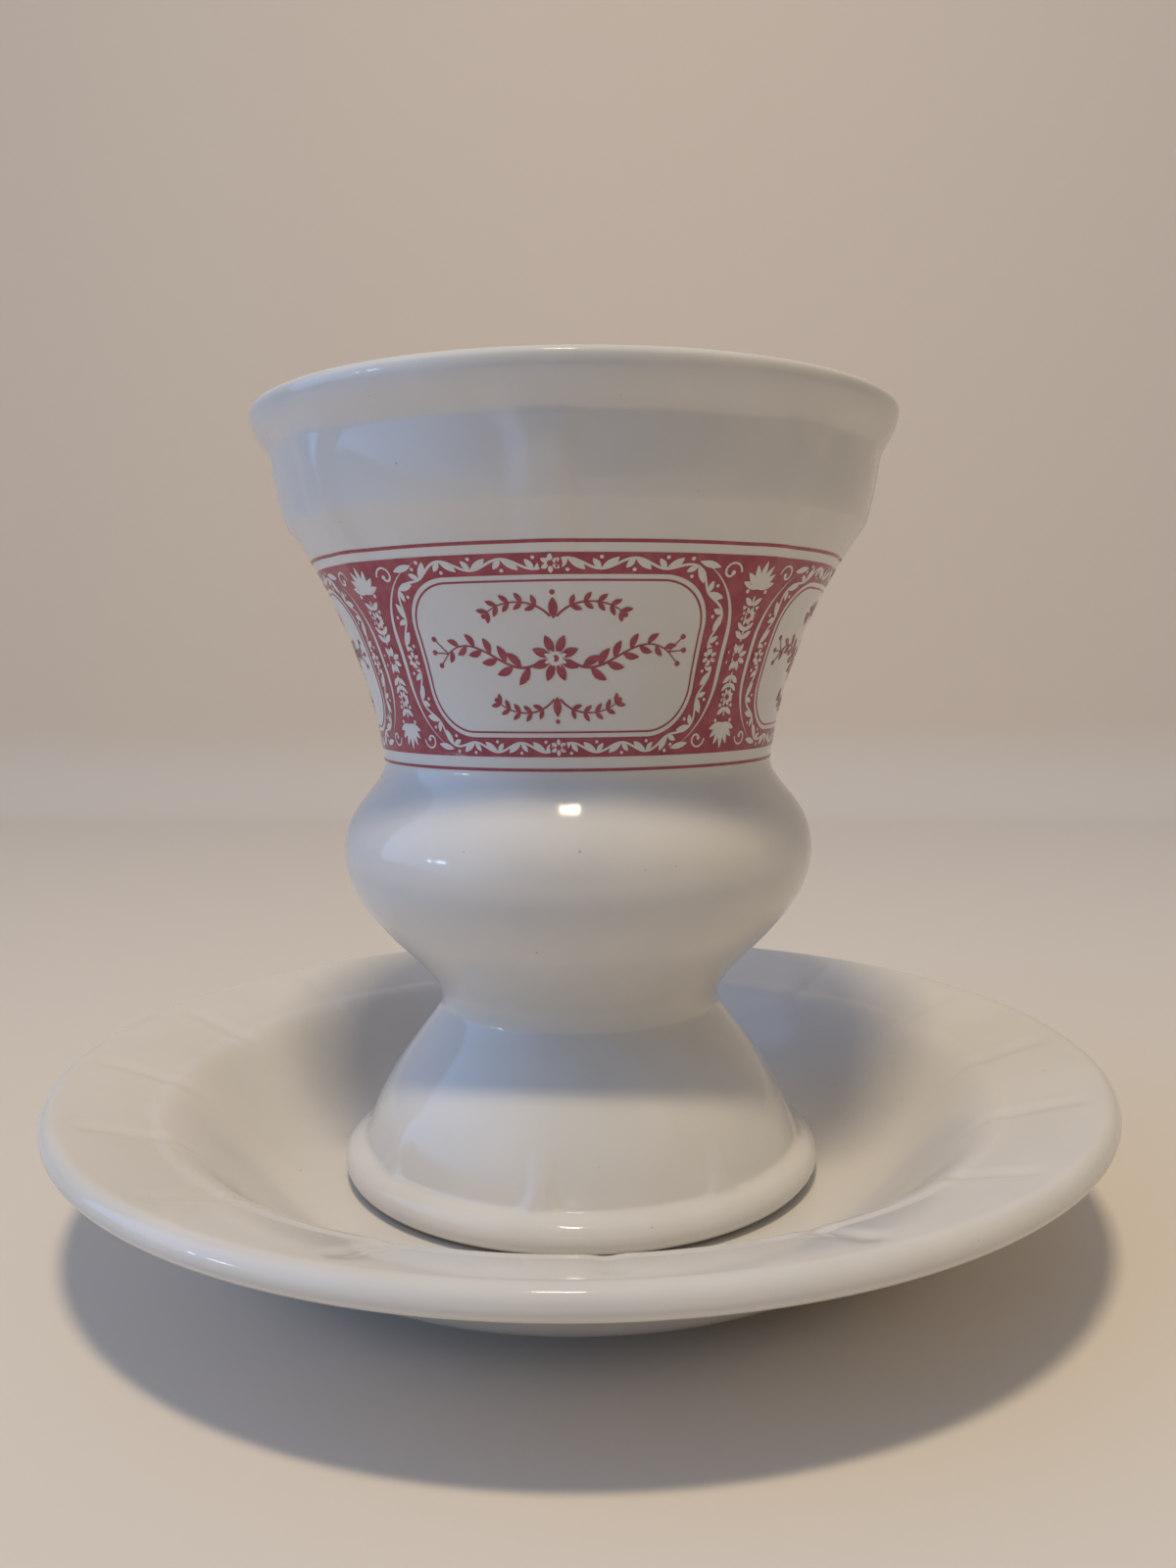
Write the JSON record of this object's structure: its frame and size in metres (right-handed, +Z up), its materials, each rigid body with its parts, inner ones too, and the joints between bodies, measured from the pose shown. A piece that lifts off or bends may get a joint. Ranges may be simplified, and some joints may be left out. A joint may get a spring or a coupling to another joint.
{
  "type": "cup with saucer",
  "caption": "Pedestal coffee cup with a bell foot, waisted bowl, moulded panels and a rose printed band, standing in the well of a saucer with a fluted rim.",
  "frame": {"origin": "on the table under the cup's axis, at the centre of the saucer's foot ring", "axes": "+Z up along the common axis of cup and saucer, -Y towards the front, where one printed window faces"},
  "size_m": [0.156, 0.156, 0.1195],
  "materials": {
    "glaze": "glossy cream white glaze with fine specks",
    "rose_print": "rose red ceramic transfer, fired on the glaze"
  },
  "bodies": {
    "saucer": {"saucer": "glaze"},
    "cup": {"cup_foot": "glaze", "cup_bowl": "glaze", "lower_line": "rose_print", "upper_line": "rose_print", "band_print_front": "rose_print", "band_print_right": "rose_print", "band_print_back": "rose_print", "band_print_left": "rose_print"}
  },
  "joints": [
    {"name": "cup_lift", "type": "slide", "parent": "saucer", "child": "cup", "axis": [0, 0, 1], "range_m": [0, 0.06]}
  ]
}
